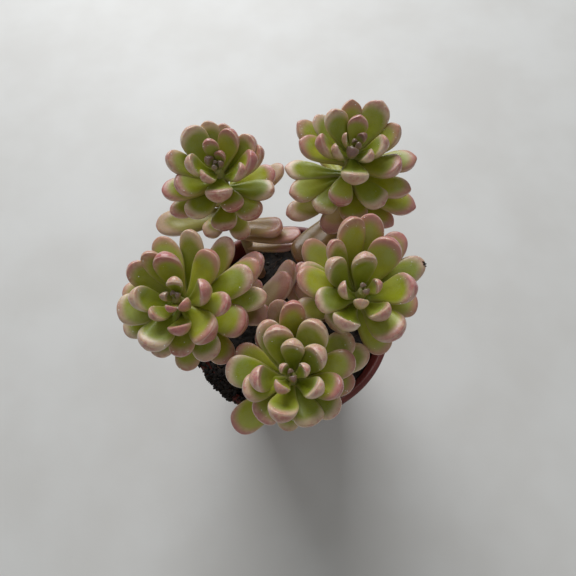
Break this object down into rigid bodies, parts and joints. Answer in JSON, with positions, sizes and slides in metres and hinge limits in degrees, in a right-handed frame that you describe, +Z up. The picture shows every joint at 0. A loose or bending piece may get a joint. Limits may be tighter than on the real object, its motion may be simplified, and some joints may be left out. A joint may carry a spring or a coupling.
{
  "type": "potted sedum",
  "caption": "Succulent plant with rosettes of thick pink-edged green leaves on bent stems, rooted in peat in a small round plastic pot.",
  "frame": {"origin": "middle of the pot's foot, on the surface it stands on", "axes": "+Z up along the pot's axis; +X right and +Y back, as the plant is seen from its front"},
  "size_m": [0.1034, 0.1099, 0.1546],
  "materials": {
    "pot_plastic": "dark terracotta red moulded plastic, dull sheen",
    "peat": "near-black moist peat, crumbly and matt",
    "leaf": "smooth waxy succulent leaf, green with pink to cream edge, thin pale bloom",
    "shoot": "stem and young leaves, waxy, paler green with strong pink edges"
  },
  "bodies": {
    "root": {"pot": "pot_plastic", "peat": "peat", "rear_left_shoot": "shoot", "rear_left_leaf_01": "leaf", "rear_left_leaf_02": "leaf", "rear_left_leaf_03": "leaf", "rear_left_leaf_04": "leaf", "rear_left_leaf_05": "leaf", "rear_left_leaf_06": "leaf", "rear_left_leaf_07": "leaf", "rear_left_leaf_08": "leaf", "rear_left_leaf_09": "leaf", "rear_left_leaf_10": "leaf", "rear_left_leaf_11": "leaf", "rear_right_shoot": "shoot", "rear_right_leaf_01": "leaf", "rear_right_leaf_02": "leaf", "rear_right_leaf_03": "leaf", "rear_right_leaf_04": "leaf", "rear_right_leaf_05": "leaf", "rear_right_leaf_06": "leaf", "rear_right_leaf_07": "leaf", "rear_right_leaf_08": "leaf", "rear_right_leaf_09": "leaf", "rear_right_leaf_10": "leaf", "rear_right_leaf_11": "leaf", "left_shoot": "shoot", "left_leaf_01": "leaf", "left_leaf_02": "leaf", "left_leaf_03": "leaf", "left_leaf_04": "leaf", "left_leaf_05": "leaf", "left_leaf_06": "leaf", "left_leaf_07": "leaf", "left_leaf_08": "leaf", "left_leaf_09": "leaf", "left_leaf_10": "leaf", "left_leaf_11": "leaf", "front_shoot": "shoot", "front_leaf_01": "leaf", "front_leaf_02": "leaf", "front_leaf_03": "leaf", "front_leaf_04": "leaf", "front_leaf_05": "leaf", "front_leaf_06": "leaf", "front_leaf_07": "leaf", "front_leaf_08": "leaf", "front_leaf_09": "leaf", "front_leaf_10": "leaf", "right_shoot": "shoot", "right_leaf_01": "leaf", "right_leaf_02": "leaf", "right_leaf_03": "leaf", "right_leaf_04": "leaf", "right_leaf_05": "leaf", "right_leaf_06": "leaf", "right_leaf_07": "leaf", "right_leaf_08": "leaf", "right_leaf_09": "leaf", "right_leaf_10": "leaf"}
  },
  "joints": []
}
